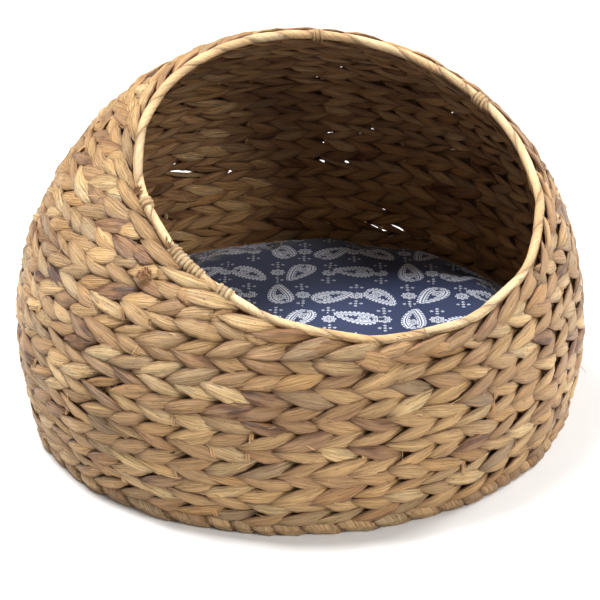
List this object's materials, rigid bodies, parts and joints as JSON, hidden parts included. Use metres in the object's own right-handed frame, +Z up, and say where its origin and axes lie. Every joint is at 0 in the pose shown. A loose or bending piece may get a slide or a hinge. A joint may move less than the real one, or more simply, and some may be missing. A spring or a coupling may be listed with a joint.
{
  "type": "wicker pet bed basket",
  "caption": "Domed round wicker pet bed with a large sloping mouth, twined walls on a wire frame, and a loose round printed cushion on its woven floor.",
  "frame": {"origin": "on the ground under the middle of the base", "axes": "+Z up, +X to the basket's left as it faces out of its mouth, -Y out of the mouth"},
  "size_m": [0.5784, 0.5534, 0.3663],
  "materials": {
    "weave_outer": "dry woven water hyacinth, golden tan with brown streaks, satin",
    "weave_inner": "dry woven water hyacinth, shaded brown, matte",
    "weave_floor": "dry woven water hyacinth, tan, matte",
    "wrapped_rope": "wound hyacinth strand, pale tan, smooth satin",
    "frame_wire": "dark painted steel wire",
    "printed_cotton": "navy woven cotton with a pale paisley print, matte",
    "piping_cotton": "pale grey-blue cotton piping, matte",
    "fibre_filling": "white polyester fibre"
  },
  "bodies": {
    "basket": {"outer_weave_1": "weave_outer", "outer_weave_2": "weave_outer", "outer_weave_3": "weave_outer", "outer_weave_4": "weave_outer", "outer_weave_5": "weave_outer", "outer_weave_6": "weave_outer", "outer_weave_7": "weave_outer", "outer_weave_8": "weave_outer", "outer_weave_9": "weave_outer", "outer_weave_10": "weave_outer", "inner_weave_1": "weave_inner", "inner_weave_2": "weave_inner", "inner_weave_3": "weave_inner", "inner_weave_4": "weave_inner", "inner_weave_5": "weave_inner", "inner_weave_6": "weave_inner", "inner_weave_7": "weave_inner", "inner_weave_8": "weave_inner", "inner_weave_9": "weave_inner", "inner_weave_10": "weave_inner", "rib_01": "frame_wire", "rib_02": "frame_wire", "rib_03": "frame_wire", "rib_04": "frame_wire", "rib_05": "frame_wire", "rib_06": "frame_wire", "rib_07": "frame_wire", "rib_08": "frame_wire", "rib_09": "frame_wire", "rib_10": "frame_wire", "rib_11": "frame_wire", "rib_12": "frame_wire", "rib_13": "frame_wire", "rib_14": "frame_wire", "rib_15": "frame_wire", "rib_16": "frame_wire", "rib_17": "frame_wire", "rib_18": "frame_wire", "floor_bar_1": "frame_wire", "floor_bar_2": "frame_wire", "floor_bar_3": "frame_wire", "floor_bar_4": "frame_wire", "floor_bar_5": "frame_wire", "base_hoop": "frame_wire", "mouth_hoop": "frame_wire", "base_rope": "wrapped_rope", "mouth_binding": "wrapped_rope", "floor_weave_upper": "weave_inner", "floor_weave_lower": "weave_floor"},
    "cushion": {"cushion_top_panel": "printed_cotton", "cushion_bottom_panel": "printed_cotton", "cushion_filling": "fibre_filling", "cushion_piping": "piping_cotton"}
  },
  "joints": [
    {"name": "cushion_lift", "type": "slide", "parent": "basket", "child": "cushion", "axis": [0, 0, 1], "range_m": [0, 0.12]}
  ]
}
